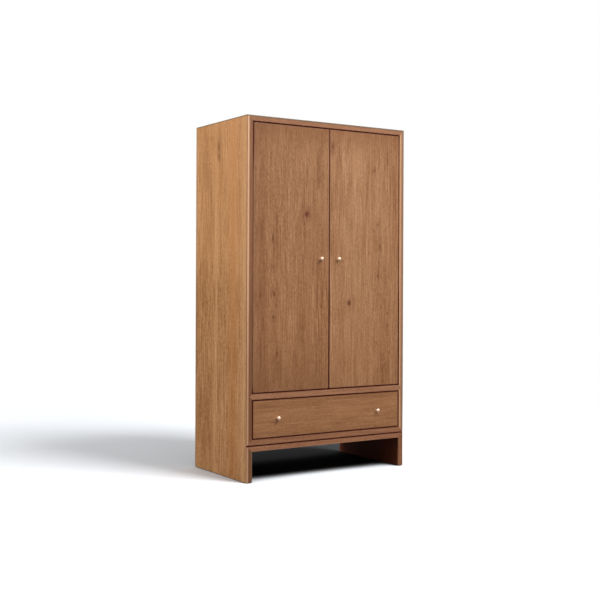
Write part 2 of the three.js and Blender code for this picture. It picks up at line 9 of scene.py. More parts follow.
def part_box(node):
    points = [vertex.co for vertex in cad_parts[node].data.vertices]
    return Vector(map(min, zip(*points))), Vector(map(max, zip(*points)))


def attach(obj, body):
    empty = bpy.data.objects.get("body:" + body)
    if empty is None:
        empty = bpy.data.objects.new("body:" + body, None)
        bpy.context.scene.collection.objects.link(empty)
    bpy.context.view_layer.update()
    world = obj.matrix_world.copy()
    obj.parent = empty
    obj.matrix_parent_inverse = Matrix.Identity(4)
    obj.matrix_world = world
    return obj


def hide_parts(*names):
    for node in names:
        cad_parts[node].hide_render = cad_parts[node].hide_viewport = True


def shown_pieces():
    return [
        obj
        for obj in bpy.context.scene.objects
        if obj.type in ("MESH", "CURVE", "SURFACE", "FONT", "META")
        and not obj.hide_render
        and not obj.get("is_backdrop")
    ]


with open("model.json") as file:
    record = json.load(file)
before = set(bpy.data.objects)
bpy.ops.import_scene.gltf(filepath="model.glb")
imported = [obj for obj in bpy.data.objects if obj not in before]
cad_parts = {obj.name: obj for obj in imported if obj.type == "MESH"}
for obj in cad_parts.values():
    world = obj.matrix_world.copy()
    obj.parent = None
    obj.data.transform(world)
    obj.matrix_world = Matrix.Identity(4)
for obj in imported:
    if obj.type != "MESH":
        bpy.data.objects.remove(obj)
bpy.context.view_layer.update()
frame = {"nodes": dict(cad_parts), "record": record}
nodes = frame["nodes"]
record = frame["record"]
slotOfNode = {row["node"]: row["material_slot"] for row in record["subparts"]}
bodyOfNode = {
    node: body
    for body, members in record["behaviour"]["bodies"].items()
    for node in members
}
mm = 0.001


# a wire is one socket of a node tree; + - * on it add Math nodes
class Wire:
    def __init__(self, tree, socket=None):
        self.tree = tree
        self.socket = socket

    # every node other than plain arithmetic comes from here: type, settings, then sockets
    def node(self, kind, settings=None, sockets=None, output=0):
        made = self.tree.nodes.new(kind)
        for name, value in (settings or {}).items():
            if name == "stops":
                fillRamp(made.color_ramp, value)
            else:
                setattr(made, name, value)
        for name, value in (sockets or {}).items():
            if isinstance(value, Wire):
                self.tree.links.new(value.socket, made.inputs[name])
            else:
                made.inputs[name].default_value = value
        return Wire(self.tree, made.outputs[output] if len(made.outputs) else None)

    def other(self, output):
        return Wire(self.tree, self.socket.node.outputs[output])

    def maths(self, operation, first, second=0.0):
        return self.node("ShaderNodeMath", {"operation": operation}, {0: first, 1: second})

    def __add__(self, value):
        return self.maths("ADD", self, value)

    def __radd__(self, value):
        return self.maths("ADD", value, self)

    def __sub__(self, value):
        return self.maths("SUBTRACT", self, value)

    def __rsub__(self, value):
        return self.maths("SUBTRACT", value, self)

    def __mul__(self, value):
        return self.maths("MULTIPLY", self, value)

    def __rmul__(self, value):
        return self.maths("MULTIPLY", value, self)


def fillRamp(ramp, stops):
    while len(ramp.elements) < len(stops):
        ramp.elements.new(0.5)
    for element, (place, colour) in zip(ramp.elements, stops):
        element.position = place
        element.color = colour


def vector(wire, operation, first, second=(0.0, 0.0, 0.0)):
    return wire.node("ShaderNodeVectorMath", {"operation": operation}, {0: first, 1: second})


def vectorTimes(wire, first, amount):
    return wire.node("ShaderNodeVectorMath", {"operation": "SCALE"}, {0: first, "Scale": amount})


def lengthOf(wire, value):
    return wire.node("ShaderNodeVectorMath", {"operation": "LENGTH"}, {0: value}, "Value")


def axisOf(wire, place, axis):
    return wire.node("ShaderNodeSeparateXYZ", {}, {"Vector": place}, axis)


def sizeOf(wire, value):
    return wire.maths("ABSOLUTE", value)


def fade(wire, value, low, high, fromValue, toValue, way="SMOOTHSTEP"):
    sockets = {"Value": value, 1: low, 2: high, 3: fromValue, 4: toValue}
    return wire.node("ShaderNodeMapRange", {"interpolation_type": way}, sockets)


def blendColour(wire, factor, under, over):
    settings = {"data_type": "RGBA", "clamp_factor": True}
    return wire.node("ShaderNodeMix", settings, {0: factor, 6: under, 7: over}, 2)


def noise(wire, place, scale=1.0, detail=2.0, roughness=0.5):
    sockets = {"Vector": place, "Scale": scale, "Detail": detail, "Roughness": roughness}
    return wire.node("ShaderNodeTexNoise", {"noise_dimensions": "3D"}, sockets)


def lower(wire, first, second):
    return wire.maths("MINIMUM", first, second)


def upper(wire, first, second):
    return wire.maths("MAXIMUM", first, second)


# a colour as a screen shows it, 0 to 255, as the linear values the shaders take
def screen(red, green, blue):
    values = [channel / 255 for channel in (red, green, blue)]
    linear = [v / 12.92 if v <= 0.04045 else ((v + 0.055) / 1.055) ** 2.4 for v in values]
    return (*linear, 1.0)


def startMaterial(name):
    material = bpy.data.materials.new(name)
    material.use_nodes = True
    material.node_tree.nodes.clear()
    wire = Wire(material.node_tree)
    place = wire.node("ShaderNodeTexCoord", output="Object")
    return material, wire, place


def endMaterial(wire, sockets):
    shader = wire.node("ShaderNodeBsdfPrincipled", {}, sockets)
    wire.node("ShaderNodeOutputMaterial", {}, {"Surface": shader})


# camera: place in metres, angles in degrees, lens in mm
cameraLook = {
    "place": (-3.1282, -4.8343, 1.0318),
    "turn": 32.83,      # to the right of straight ahead
    "roll": 0.24,
    "lens": 62.01,
    "sensor": 36.0,
    "shiftUp": -0.0314,
    "farthest": 200.0,
}


def setCamera():
    data = bpy.data.cameras.new("camera")
    data.lens = cameraLook["lens"]
    data.sensor_width = cameraLook["sensor"]
    data.shift_y = cameraLook["shiftUp"]
    data.clip_end = cameraLook["farthest"]
    turn = math.radians(cameraLook["turn"])
    roll = math.radians(cameraLook["roll"])
    ahead = Vector((math.sin(turn), math.cos(turn), 0.0))
    across = Vector((math.cos(turn), -math.sin(turn), 0.0))
    upward = Vector((0.0, 0.0, 1.0))
    right = across * math.cos(roll) + upward * math.sin(roll)
    top = upward * math.cos(roll) - across * math.sin(roll)
    camera = bpy.data.objects.new("camera", data)
    facing = Matrix((right, top, -ahead)).transposed().to_4x4()
    camera.matrix_world = Matrix.Translation(cameraLook["place"]) @ facing
    bpy.context.scene.collection.objects.link(camera)
    bpy.context.scene.camera = camera


# pale floor with painted shade under and beside the base, soft sky and soft boxes; distances in metres
studio = {
    "skyLow": 0.03,         # sky strength near the floor
    "skyHigh": 0.82,        # and overhead
    "skyTop": 0.9,          # how high up the sky is at full strength, 0 to 1
    "backdrop": 1.0,        # what the camera sees behind the object
    "floorSize": 60.0,
    "floorColour": screen(243, 246, 250),
    "floorDark": screen(8, 8, 9),
    "floorBounce": screen(96, 94, 92),
    "white": (1.0, 1.0, 1.0, 1.0),
    # painted contact shade: ambient occlusion darkens the floor colour within this reach of the base
    "contact": 0.32,        # reach of the soft dark where the base meets the floor
    "contactOpen": 0.6,     # how open a spot is to count as fully lit
    "contactLow": 0.05,     # what stays of the floor colour in the closest corner
    # painted shade on the floor under and behind the base
    "shadeUnderBase": {
        "strength": 0.95,
        "left": (-0.505, 0.297, 0.511),     # a corner of the base, and how much the line leans
        "right": (0.505, -0.275, 0.797),
        "leftSoft": 0.16,
        "rightSoft": 0.05,
        "front": (-0.24, -0.08),
        "behind": (0.5, 1.1),
    },
    "sweep": (2.3, 3.6),    # the floor turns into the white backdrop between these distances
    "aim": (0.0, 0.0, 0.95),
    "boxes": {
        "front_box": {"toward": (0.42, -0.90, 1.15), "away": 9.0, "size": 3.7, "power": 470.0},
        "front_fill": {"toward": (0.42, -0.90, 1.15), "away": 9.0, "size": 3.7, "power": 570.0,
                       "pastKnobs": True},
        "side_box": {"toward": (-1.0, 0.06, 0.75), "away": 6.5, "size": 3.0, "power": 440.0,
                     "lights": "armoire"},
        "knob_box": {"toward": (-0.45, -1.0, -0.12), "away": 3.0, "size": 1.2, "power": 30.0,
                     "lights": "knobs"},
    },
}


def setSky():
    world = bpy.data.worlds.new("studio")
    world.use_nodes = True
    world.node_tree.nodes.clear()
    wire = Wire(world.node_tree)
    toward = wire.node("ShaderNodeTexCoord", output="Generated")
    height = axisOf(wire, toward, 2)
    glow = fade(wire, height, 0.0, studio["skyTop"], studio["skyLow"], studio["skyHigh"])
    seen = wire.node("ShaderNodeLightPath", output="Is Camera Ray")
    strength = glow + seen * (studio["backdrop"] - glow)
    light = wire.node("ShaderNodeBackground", {}, {"Color": studio["white"], "Strength": strength})
    wire.node("ShaderNodeOutputWorld", {}, {"Surface": light})
    bpy.context.scene.world = world
    bpy.context.scene.view_settings.view_transform = "Standard"


def setFloor():
    half = studio["floorSize"] / 2
    mesh = bpy.data.meshes.new("floor")
    corners = [(-half, -half, 0.0), (half, -half, 0.0), (half, half, 0.0), (-half, half, 0.0)]
    mesh.from_pydata(corners, [], [(0, 1, 2, 3)])
    floor = bpy.data.objects.new("floor", mesh)
    bpy.context.scene.collection.objects.link(floor)
    material, wire, place = startMaterial("pale_floor")
    # painted contact shade: the floor colour darkens where ambient occlusion finds the base close by
    lit = wire.node("ShaderNodeAmbientOcclusion", {"samples": 12}, {"Distance": studio["contact"]}, "AO")
    shade = fade(wire, lit, 0.0, studio["contactOpen"], studio["contactLow"], 1.0, "LINEAR")
    under = studio["shadeUnderBase"]
    across, along = axisOf(wire, place, 0), axisOf(wire, place, 1)
    # painted shade lies between the legs and, past the back, between two lines that lean to the right
    leftX, leftY, leftSlant = under["left"]
    rightX, rightY, rightSlant = under["right"]
    fromLeft = lower(wire, across - leftX, across - leftX - (along - leftY) * leftSlant)
    fromRight = rightX - across + (along - rightY) * rightSlant
    between = fade(wire, fromLeft, 0.0, under["leftSoft"], 0.0, 1.0)
    between = between * fade(wire, fromRight, 0.0, under["rightSoft"], 0.0, 1.0)
    between = between * fade(wire, along, *under["front"], 0.0, 1.0)
    between = between * fade(wire, along, *under["behind"], 1.0, 0.0)
    shade = shade * (1 - between * under["strength"])
    floorColour = blendColour(wire, shade, studio["floorDark"], studio["floorColour"])
    bright = wire.node("ShaderNodeBsdfDiffuse", {}, {"Color": floorColour})
    dim = wire.node("ShaderNodeBsdfDiffuse", {}, {"Color": studio["floorBounce"]})
    white = wire.node("ShaderNodeEmission", {}, {"Color": studio["white"], "Strength": 1.0})
    far = fade(wire, lengthOf(wire, place), *studio["sweep"], 0.0, 1.0)
    swept = wire.node("ShaderNodeMixShader", {}, {0: far, 1: bright, 2: white})
    seen = wire.node("ShaderNodeLightPath", output="Is Camera Ray")
    both = wire.node("ShaderNodeMixShader", {}, {0: seen, 1: dim, 2: swept})
    wire.node("ShaderNodeOutputMaterial", {}, {"Surface": both})
    mesh.materials.append(material)
    floor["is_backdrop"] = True


# the side box leaves the floor alone, so that one shadow falls; the knob box only puts a glint on the knobs;
# the fill shines past the knobs, so that their own shadows stay faint
def setLights():
    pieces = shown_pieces()
    knobs = [piece for piece in pieces if piece.name.endswith("knob_turned")]
    others = [piece for piece in pieces if piece not in knobs]
    groups = {}
    for title, members in (("armoire", pieces), ("knobs", knobs), ("allButKnobs", others)):
        groups[title] = bpy.data.collections.new(title)
        for piece in members:
            groups[title].objects.link(piece)
    for name, box in studio["boxes"].items():
        data = bpy.data.lights.new(name, "AREA")
        data.shape = "SQUARE"
        data.size = box["size"]
        data.energy = box["power"]
        lamp = bpy.data.objects.new(name, data)
        toward = Vector(box["toward"]).normalized()
        lamp.location = Vector(studio["aim"]) + toward * box["away"]
        lamp.rotation_euler = toward.to_track_quat("Z", "Y").to_euler()
        bpy.context.scene.collection.objects.link(lamp)
        if "lights" in box:
            lamp.light_linking.receiver_collection = groups[box["lights"]]
        if box.get("pastKnobs"):
            lamp.light_linking.blocker_collection = groups["allButKnobs"]


# every wood: three tones of the grain, then what lies over it
woodLooks = {
    "side_veneer": {
        "dark": screen(123, 79, 41), "middle": screen(163, 115, 72), "light": screen(187, 141, 98),
        "poreColour": screen(88, 52, 26), "edgeColour": screen(178, 132, 92),
        "knotColour": screen(92, 50, 16),
        "roughness": 0.46, "contrast": 1.5, "pores": 0.45, "edge": 0.3, "width": 1.8,
    },
    "front_veneer": {
        "dark": screen(118, 74, 43), "middle": screen(162, 115, 78), "light": screen(192, 146, 108),
        "poreColour": screen(86, 48, 24), "edgeColour": screen(146, 98, 74),
        "knotColour": screen(96, 46, 26),
        "roughness": 0.46, "contrast": 1.15, "pores": 0.5, "edge": 0.25,
    },
    "solid_edge_wood": {
        "dark": screen(118, 74, 50), "middle": screen(156, 108, 78), "light": screen(184, 138, 106),
        "poreColour": screen(82, 46, 28), "edgeColour": screen(178, 132, 100),
        "roughness": 0.42, "contrast": 0.8, "pores": 0.4, "edge": 0.25,
    },
    "inside_veneer": {
        "dark": screen(140, 100, 64), "middle": screen(172, 130, 88), "light": screen(194, 155, 112),
        "poreColour": screen(108, 72, 44), "edgeColour": screen(180, 138, 100),
        "roughness": 0.55, "contrast": 0.7, "pores": 0.35, "edge": 0.3,
    },
    "drawer_box_wood": {
        "dark": screen(176, 136, 92), "middle": screen(206, 170, 124), "light": screen(222, 191, 148),
        "poreColour": screen(150, 108, 70), "edgeColour": screen(214, 180, 138),
        "roughness": 0.5, "contrast": 0.6, "pores": 0.25, "edge": 0.3,
    },
}

# painted light and shade: how much lighter or darker one piece is drawn than the rest of its wood, as the
# light falls darker on the left door and the low front pieces and lighter on the right stile
shadingShift = {
    "left_door": -0.06, "drawer_front": -0.12, "right_stile_lipping": 0.2, "right_leg_lipping": -0.22,
    "bottom_lipping": -0.10, "front_base_rail": -0.06, "left_leg_lipping": -0.05,
}

# how strongly the grain of one piece shows against the rest of its wood
grainContrast = {"drawer_front": 0.66}

# which way the grain runs in each wooden piece: 0 across the width, 1 front to back, 2 upright
grainWay = {
    "left_side_panel": 2, "right_side_panel": 2, "left_door": 2, "right_door": 2, "back_panel": 2,
    "left_stile_lipping": 2, "right_stile_lipping": 2, "left_leg_lipping": 2, "right_leg_lipping": 2,
    "drawer_left_side": 1, "drawer_right_side": 1,
}

# knots and dark streaks: centre and half sizes in mm, darkness, and how far the grain parts round each
knots = {
    "left_door": [
        ((-144.4, -274, 1386), (23, 9, 25), 0.85, 0.5),
        ((-353, -274, 1249), (8, 7, 32), 0.7, 0.5),
        ((-353, -274, 1104), (8, 7, 20), 0.6, 0.5),
        ((-346, -274, 965), (10, 7, 18), 0.75, 0.5),
        ((-334, -274, 908), (7, 7, 12), 0.4, 0.4),
        ((-352, -274, 846), (9, 7, 17), 0.65, 0.4),
        ((-326, -274, 659), (6, 7, 16), 0.5, 0.4),
        ((-209.5, -274, 610), (4, 6, 60), 0.45, 0.0),
        ((-72.7, -274, 996), (4, 6, 45), 0.45, 0.0),
        ((-424, -274, 960), (6, 6, 20), 0.5, 0.3),
        ((-425, -274, 640), (5, 6, 160), 0.45, 0.0),
        ((-240, -252, 1220), (9, 8, 14), 0.8, 0.5),
        ((-110, -252, 760), (6, 7, 18), 0.6, 0.4),
    ],
    "right_door": [
        ((130, -274, 914.5), (21, 9, 24), 0.85, 0.5),
        ((338.5, -274, 1222), (8, 7, 28), 0.75, 0.5),
        ((325.5, -274, 1062), (9, 7, 19), 0.75, 0.45),
        ((332, -274, 1135), (4, 6, 60), 0.35, 0.0),
        ((20.3, -274, 1751), (12, 8, 22), 0.65, 0.4),
        ((295, -274, 1639.5), (8, 6, 17), 0.6, 0.4),
        ((324, -274, 1343), (8, 6, 17), 0.6, 0.4),
        ((388, -274, 1714), (4, 6, 55), 0.5, 0.0),
        ((180, -252, 1540), (8, 8, 13), 0.8, 0.5),
        ((330, -252, 880), (6, 7, 20), 0.6, 0.4),
    ],
    "left_side_panel": [
        ((-505, 33, 1745), (9, 16, 44), 1.0, 0.4),
        ((-505, 30, 1695), (9, 13, 36), 1.0, 0.4),
        ((-505, 15, 983), (9, 9, 24), 0.5, 0.4),
        ((-505, 150, 1640), (9, 5, 170), 0.4, 0.0),
        ((-505, -221, 1139), (9, 4, 70), 0.35, 0.0),
        ((-473, 90, 1250), (8, 8, 14), 0.6, 0.4),
    ],
    "right_side_panel": [
        ((505, -70, 1420), (9, 8, 16), 0.8, 0.5),
        ((505, 130, 880), (9, 6, 26), 0.7, 0.45),
        ((505, -150, 520), (9, 5, 40), 0.45, 0.2),
        ((473, 60, 700), (8, 7, 14), 0.6, 0.4),
    ],
    "top_panel": [
        ((-210, 60, 1880), (22, 8, 7), 0.7, 0.45),
        ((260, -120, 1880), (16, 7, 7), 0.6, 0.4),
    ],
    "drawer_front": [
        ((-395, -274, 385), (30, 7, 5), 0.3, 0.3),
        ((-345, -274, 300), (46, 7, 6), 0.28, 0.3),
        ((60, -274, 270), (24, 7, 6), 0.35, 0.3),
    ],
}

# soft bands of another tone, most of them upright: axis, middle and half width in mm, strength, colour; on
# the side panels they are the wood's own bands, on the left stile, left leg and doors they are painted light
# and shade
grainBandsAndShading = {
    "left_side_panel": [
        (1, -125, 70, 0.4, screen(166, 106, 56)),
        (1, 62, 30, 0.22, screen(206, 160, 112)),
        (1, 176, 9, 0.35, screen(140, 94, 56)),
        (1, -238, 40, 0.30, screen(206, 164, 120)),
    ],
    "right_side_panel": [
        (1, 40, 70, 0.45, screen(178, 112, 62)),
        (1, -180, 12, 0.35, screen(140, 94, 56)),
    ],
    # painted shade: the left stile and leg lipping darker, the stile most of all low down
    "left_stile_lipping": [
        (0, -489, 60, 0.55, screen(124, 78, 48)),
        (2, 400, 900, 0.45, screen(104, 62, 36)),
    ],
    "left_leg_lipping": [
        (0, -489, 60, 0.75, screen(104, 66, 38)),
    ],
    # painted light and shade on the doors: darker toward their outer sides, low down and at the top, lighter
    # in the middle
    "left_door": [
        (0, -440, 60, 0.30, screen(128, 84, 54)),
        (0, -405, 22, 0.25, screen(120, 74, 44)),
        (0, -120, 60, 0.12, screen(190, 144, 104)),
        (2, 440, 420, 0.42, screen(112, 70, 38)),
        (2, 1860, 170, 0.5, screen(120, 74, 38)),
    ],
    "right_door": [
        (0, 160, 90, 0.15, screen(192, 146, 106)),
        (0, 440, 30, 0.20, screen(132, 86, 56)),
        (2, 440, 420, 0.22, screen(112, 70, 38)),
        (2, 1860, 170, 0.5, screen(124, 76, 40)),
    ],
}

# another tone that comes in across a piece: axis, where it starts and is full in mm, strength, colour; most
# rows are painted light and shade, as marked
edgeTonesAndShading = {
    "left_side_panel": [
        # painted light: the left side lighter higher up
        (2, 850, 1250, 0.2, screen(208, 154, 104)),
        (2, 1873, 1878, 0.85, screen(92, 78, 60)),
        (1, 276, 294, 0.45, screen(140, 114, 92)),
    ],
    "right_side_panel": [(2, 1873, 1878, 0.85, screen(92, 78, 60))],
    "top_lipping": [(2, 1869, 1877, 0.95, screen(86, 72, 54))],
    "left_stile_lipping": [
        (2, 1869, 1877, 0.8, screen(92, 78, 60)),
        # painted shade beside the gap
        (0, -485, -476, 0.3, screen(96, 58, 36)),
    ],
    "right_stile_lipping": [
        # painted highlight beside the gap, then painted shade on the outer strip that turns from the light
        (0, 487, 480, 0.5, screen(220, 174, 132)),
        (0, 488, 495, 0.62, screen(116, 94, 76)),
        (2, 1869, 1877, 0.95, screen(86, 72, 54)),
    ],
    # painted shade along the inner edge of the left leg lipping
    "left_leg_lipping": [(0, -482, -476, 0.5, screen(122, 98, 78))],
    # painted light on the hinge-side edge of the left door, which keeps that gap light
    "left_door": [(0, -467.6, -468.8, 0.6, screen(218, 174, 134))],
    # painted shade on the outer strip of the right leg lipping
    "right_leg_lipping": [(0, 494, 500, 0.4, screen(112, 92, 74))],
}


# how far a darker edge reaches in from the border of these pieces, in mm
tintedEdges = {"left_door": 12.0, "right_door": 10.0, "drawer_front": 8.0}
tintedEdgeLook = {"colour": screen(142, 96, 74), "strength": 0.4, "start": 0.001}

# a painted highlight on the long outside arris of these pieces, where the side light would catch it; places
# in metres
arrisHighlight = ("left_stile_lipping", "left_leg_lipping", "top_lipping")
arrisHighlightLook = {
    "across": (-0.5000, -0.4915),
    "depth": (-0.2735, -0.2715),
    "height": (0.4, 1.3),
    "strength": (0.5, 0.85),    # at those two heights
    "colour": screen(224, 180, 144),
}

# painted shade, dark red, inside the gaps round the doors and drawer and in the groove, and on the eased
# edges beside them
revealShadeLook = {
    "colour": screen(80, 20, 2),
    "strength": 0.98,
    "eased": 4.2,               # mm past the gap's own edge
    "lift": 1.5,                # mm that the line over the doors stands higher
    "centreNarrower": (-0.4, 1.1),      # mm, below and above the heights of the next row
    "centreHeights": (0.85, 1.15),
    "depth": (-0.2680, -0.2620),
    "outer": (0.5030, 0.5045),
    # where a gap's painted shade is weaker: x where that starts and is full, strength, heights in and out
    "quiet": [
        (-0.42, -0.46, 0.95, (0.462, 0.50), (1.54, 1.76)),
        (0.42, 0.46, 0.5, (0.85, 1.10), (1.80, 1.84)),
    ],
}

# painted shade, dark red, on the inner faces of the side panels under the case
baseShadeLook = {
    "colour": screen(104, 34, 14), "strength": 0.85, "below": (0.155, 0.185), "inside": (0.476, 0.480),
}


# painted shade of the gaps and the groove: how strongly each place is darkened
def revealShade(wire, place):
    across = sizeOf(wire, axisOf(wire, place, 0))
    upright = axisOf(wire, place, 2)
    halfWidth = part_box("right_stile_lipping")[0].x
    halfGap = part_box("right_door")[0].x
    dividerLow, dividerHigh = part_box("divider_lipping")
    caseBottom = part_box("bottom_lipping")[0].z
    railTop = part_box("left_leg_lipping")[1].z
    drawerOpening = (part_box("bottom_lipping")[1].z, dividerLow.z)
    doorOpening = (dividerHigh.z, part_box("top_lipping")[0].z + revealShadeLook["lift"] * mm)

    def past(low, high):
        return sizeOf(wire, upright - (low + high) / 2) - (high - low) / 2

    # how far a place is from the nearest line: between the doors, round both openings, and the groove
    narrow, wide = revealShadeLook["centreNarrower"]
    narrower = fade(wire, upright, *revealShadeLook["centreHeights"], narrow * mm, wide * mm)
    nearest = upper(wire, across - halfGap * 0.5 + narrower, past(*doorOpening))
    for opening in (drawerOpening, doorOpening):
        outside = upper(wire, across - halfWidth, past(*opening))
        nearest = lower(wire, nearest, sizeOf(wire, outside + halfGap) - halfGap * 0.5)
    groove = sizeOf(wire, upright - (railTop + caseBottom) / 2) - (caseBottom - railTop) / 4
    nearest = lower(wire, nearest, groove)

    easedEnd = halfGap * 0.5 + revealShadeLook["eased"] * mm
    line = fade(wire, nearest, halfGap * 0.5, easedEnd, revealShadeLook["strength"], 0.0)
    line = line * fade(wire, across, *revealShadeLook["outer"], 1.0, 0.0)
    for start, full, strength, rise, fall in revealShadeLook["quiet"]:
        quiet = fade(wire, axisOf(wire, place, 0), start, full, 0.0, strength)
        quiet = quiet * fade(wire, upright, *rise, 0.0, 1.0) * fade(wire, upright, *fall, 1.0, 0.0)
        line = line * (1 - quiet)
    return line * fade(wire, axisOf(wire, place, 1), *revealShadeLook["depth"], 1.0, 0.0)


# layers of the grain: how fine across and along it, detail and roughness of the noise, share of the tone
grainLayers = {
    "broad": (9.0, 0.5, 2.0, 0.5, 0.38),
    "leaf": (42.0, 1.6, 2.0, 0.55, 0.34),
    "streak": (190.0, 6.0, 3.0, 0.62, 0.95),
    "fleck": (330.0, 72.0, 2.0, 0.6, 0.72),
    "fine": (760.0, 40.0, 2.0, 0.6, 0.6),
    "pore": (1700.0, 46.0, 1.0, 0.5, 0.0),
}

# slow sway of the grain: fineness across and along it, how far it goes in metres, share of the seed
swayLook = {"across": 5.0, "along": 1.3, "reach": 0.010, "seed": (1.0, 0.37, 0.71)}

# how a knot fades outward, in shares of its half sizes, and how ragged and sunken it is
knotLook = {"core": (0.25, 1.15), "halo": (0.8, 3.0), "haloShare": 0.28, "parting": (0.4, 3.4),
            "raggedScale": 260.0, "ragged": 0.7, "dent": 0.5}

# what all woods share; the rubbed edge is in metres
woodFinish = {
    "seed": (1.3, 0.9, 1.7),
    "toneStops": (0.12, 0.5, 0.88),
    "pore": (0.56, 0.72),
    "bandShares": (0.35, 0.7, 0.6),     # plain, with the broad grain, with the leaf grain
    "rubbed": (0.0005, 0.0045),
    "rubbedWander": 0.004,
    "streakRoughness": 0.22, "poreRoughness": 0.25, "rubbedRoughness": 0.12,
    "streakHeight": 0.35, "fineHeight": 0.5, "poreHeight": 1.2,
    "bump": {"Strength": 0.4, "Distance": 0.0004},
    "coat": 0.12,
    "gloss": {"Coat Roughness": 0.3, "Specular IOR Level": 0.3},
}


def swayed(wire, place, way, seed):
    scales = [swayLook["across"]] * 3
    scales[way] = swayLook["along"]
    reach = [swayLook["reach"]] * 3
    reach[way] = 0.0
    seeded = vector(wire, "ADD", place, [seed * share for share in swayLook["seed"]])
    drift = noise(wire, vector(wire, "MULTIPLY", seeded, scales)).other("Color")
    drift = vector(wire, "SUBTRACT", drift, (0.5, 0.5, 0.5))
    return vector(wire, "ADD", place, vector(wire, "MULTIPLY", drift, reach))


# gives the dark of all knots, and the place pushed aside around each so that the grain parts round it
def knotMasks(wire, place, bent, rows):
    ragged = (noise(wire, place, knotLook["raggedScale"]) - 0.5) * knotLook["ragged"]
    dark = 0.0
    moved = bent
    for centre, halfSizes, darkness, swell in rows:
        away = vector(wire, "SUBTRACT", bent, [c * mm for c in centre])
        shaped = vector(wire, "MULTIPLY", away, [1 / (h * mm) for h in halfSizes])
        reach = lengthOf(wire, shaped) + ragged
        core = fade(wire, reach, *knotLook["core"], darkness, 0.0)
        halo = fade(wire, reach, *knotLook["halo"], darkness * knotLook["haloShare"], 0.0)
        dark = upper(wire, upper(wire, core, halo), dark)
        if swell:
            push = fade(wire, reach, *knotLook["parting"], swell, 0.0)
            moved = vector(wire, "SUBTRACT", moved, vectorTimes(wire, away, push))
    return moved, dark


def grainOf(wire, moved, node, seed):
    look = woodLooks[slotOfNode[node]]
    seeded = vector(wire, "ADD", moved, [seed * share for share in woodFinish["seed"]])
    contrast = look["contrast"] * grainContrast.get(node, 1.0)
    tone = 0.5 + shadingShift.get(node, 0.0)
    layers = {}
    for name, (across, along, detail, roughness, share) in grainLayers.items():
        scales = [across / look.get("width", 1.0)] * 3
        scales[grainWay.get(node, 0)] = along
        layers[name] = noise(wire, vector(wire, "MULTIPLY", seeded, scales), 1.0, detail, roughness)
        if share:
            tone = tone + (layers[name] - 0.5) * (share * contrast)
    return layers, tone


# distance to the nearest edge of a face: the middle one of the three distances to the sides of the box
def edgeDistance(wire, place, low, high):
    fromLow = vector(wire, "SUBTRACT", place, low)
    fromHigh = vector(wire, "SUBTRACT", high, place)
    gaps = vector(wire, "MINIMUM", fromLow, fromHigh)
    gapX, gapY, gapZ = [axisOf(wire, gaps, axis) for axis in range(3)]
    return upper(wire, lower(wire, gapX, gapY), lower(wire, upper(wire, gapX, gapY), gapZ))


def addBands(wire, colour, moved, layers, node):
    plain, broadShare, leafShare = woodFinish["bandShares"]
    for axis, middle, half, strength, bandColour in grainBandsAndShading.get(node, []):
        gap = sizeOf(wire, axisOf(wire, moved, axis) - middle * mm)
        broken = plain + layers["broad"] * broadShare + layers["leaf"] * leafShare
        mask = fade(wire, gap, 0.0, half * mm, strength, 0.0) * broken
        colour = blendColour(wire, mask, colour, bandColour)
    return colour


def addEdges(wire, colour, place, edgeGap, node):
    if node in tintedEdges:
        start, end = tintedEdgeLook["start"], tintedEdges[node] * mm
        tint = fade(wire, edgeGap, start, end, tintedEdgeLook["strength"], 0.0)
        colour = blendColour(wire, tint, colour, tintedEdgeLook["colour"])
    # painted highlight on the outside arris
    if node in arrisHighlight:
        outer = fade(wire, axisOf(wire, place, 0), *arrisHighlightLook["across"], 1.0, 0.0)
        outer = outer * fade(wire, axisOf(wire, place, 1), *arrisHighlightLook["depth"], 1.0, 0.0)
        outer = outer * fade(wire, axisOf(wire, place, 2), *arrisHighlightLook["height"], *arrisHighlightLook["strength"])
        colour = blendColour(wire, outer, colour, arrisHighlightLook["colour"])
    # tones across a piece, most of them painted light and shade
    for axis, start, full, strength, toneColour in edgeTonesAndShading.get(node, []):
        mask = fade(wire, axisOf(wire, place, axis), start * mm, full * mm, 0.0, strength)
        colour = blendColour(wire, mask, colour, toneColour)
    return colour


